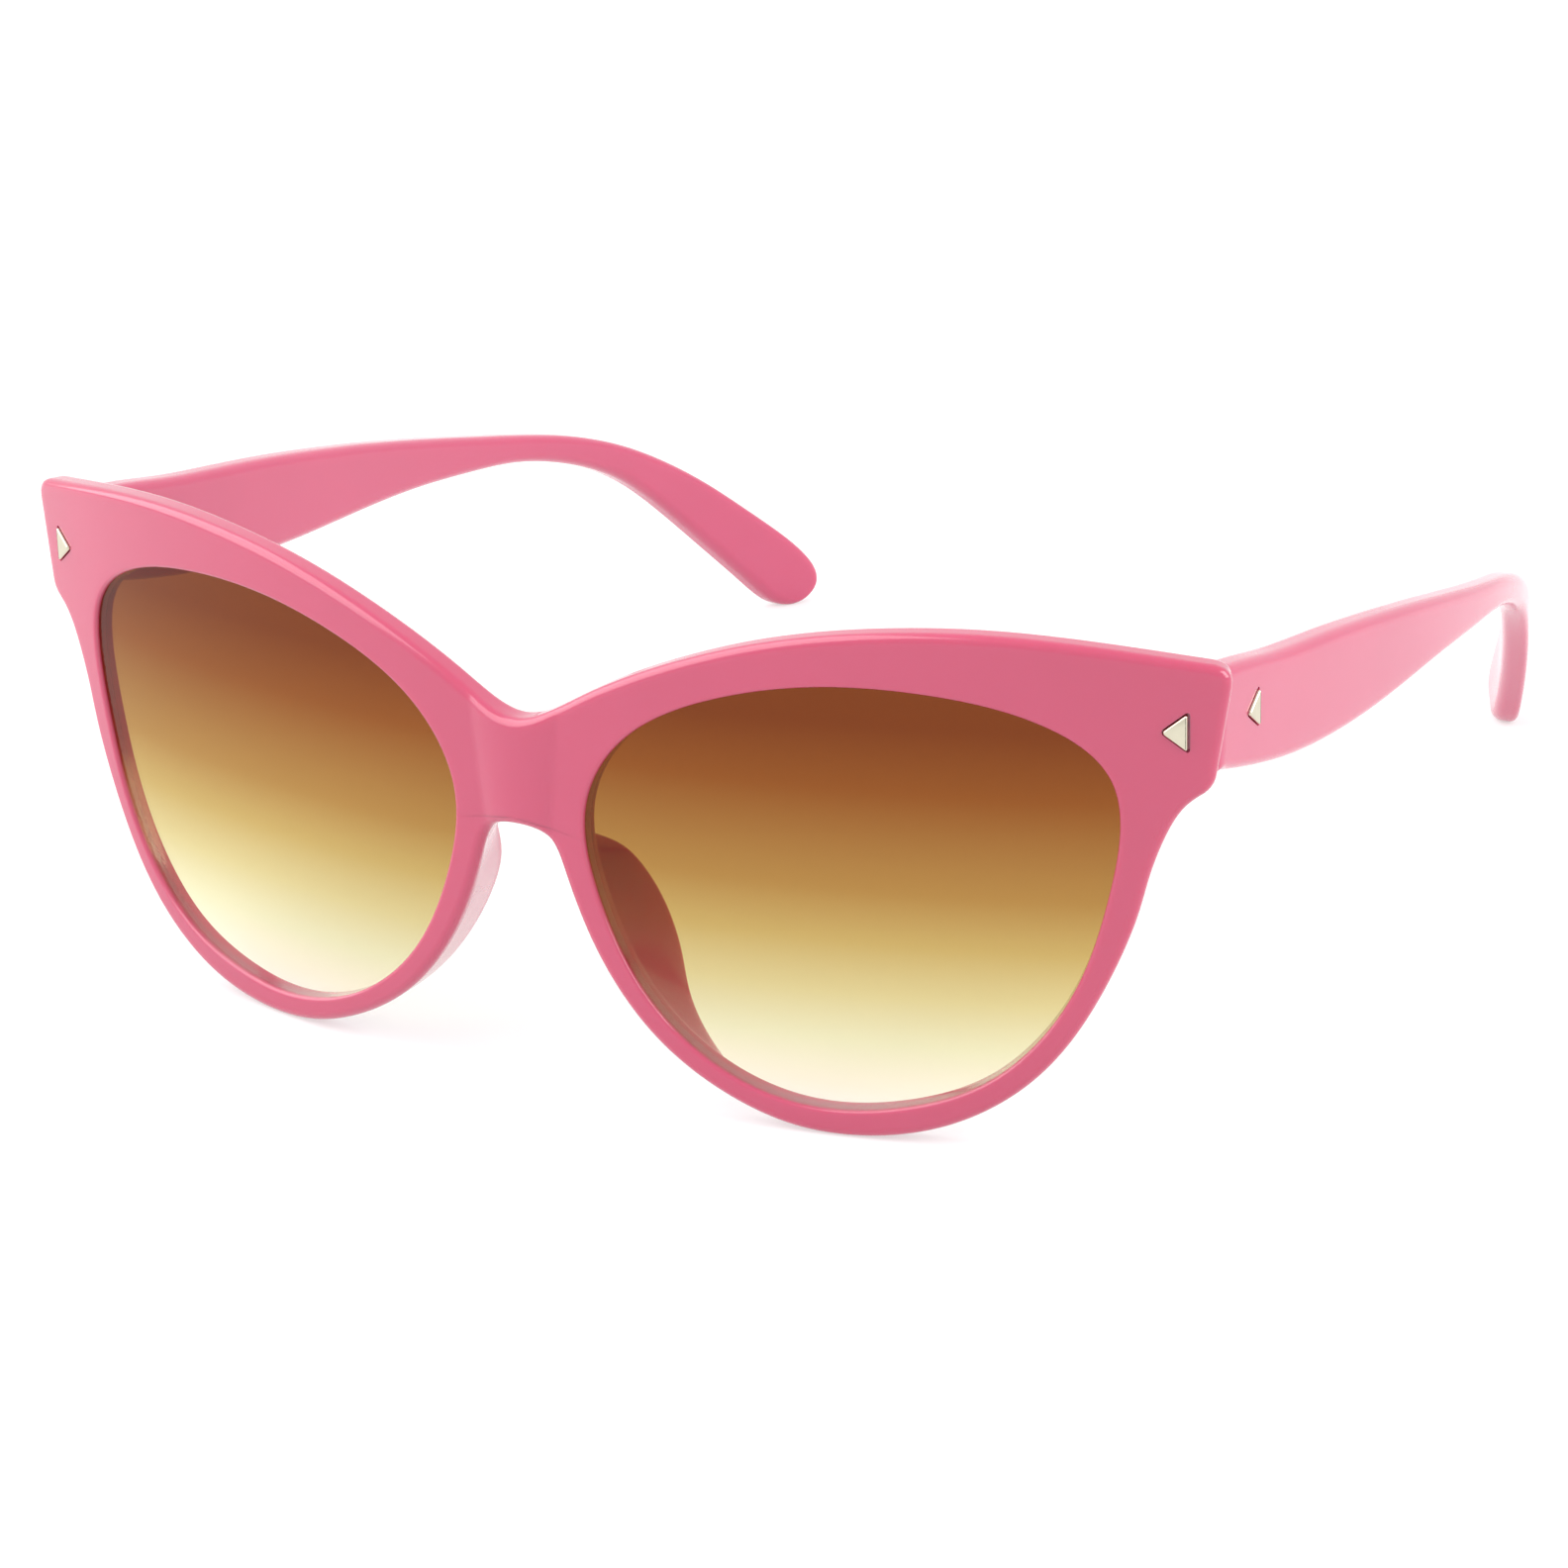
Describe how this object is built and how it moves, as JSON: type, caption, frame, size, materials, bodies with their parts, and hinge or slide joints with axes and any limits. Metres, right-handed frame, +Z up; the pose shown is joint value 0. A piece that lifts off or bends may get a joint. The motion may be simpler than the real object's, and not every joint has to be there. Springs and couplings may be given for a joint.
{
  "type": "sunglasses",
  "caption": "Oversized cat eye sunglasses: glossy moulded front with gradient lenses, triangular rivets and folding temples.",
  "frame": {"origin": "on the resting surface, under the middle of the object's bounding box", "axes": "+Z up; the front faces -Y and the temples run towards +Y; +X is the side of the temple whose node ends in right"},
  "size_m": [0.1472, 0.1442, 0.055],
  "materials": {
    "front_plastic": "polished moulded pink plastic",
    "temple_plastic": "polished moulded pink plastic, a little lighter than the front",
    "lens_tint": "clear lens with a brown tint that fades to pale amber at the bottom",
    "rivet_metal": "polished nickel",
    "hinge_metal": "nickel plated, satin",
    "screw_metal": "satin steel"
  },
  "bodies": {
    "front": {"front_frame": "front_plastic", "lens_left": "lens_tint", "lens_right": "lens_tint", "front_rivet_left": "rivet_metal", "front_rivet_right": "rivet_metal", "front_hinge_leaf_left": "hinge_metal", "front_hinge_leaf_right": "hinge_metal", "hinge_screw_left": "screw_metal", "hinge_screw_right": "screw_metal"},
    "left_temple": {"temple_rivet_left": "rivet_metal", "temple_hinge_leaf_left": "hinge_metal", "temple_left": "temple_plastic"},
    "right_temple": {"temple_rivet_right": "rivet_metal", "temple_hinge_leaf_right": "hinge_metal", "temple_right": "temple_plastic"}
  },
  "joints": [
    {"name": "left_temple_hinge", "type": "hinge", "parent": "front", "child": "left_temple", "pos_m": [-0.064, -0.05305, 0.04561], "axis": [0, -0.0232, -0.9997], "range_deg": [0, 83]},
    {"name": "right_temple_hinge", "type": "hinge", "parent": "front", "child": "right_temple", "pos_m": [0.064, -0.05305, 0.04561], "axis": [0, 0.0232, 0.9997], "range_deg": [0, 76]}
  ]
}
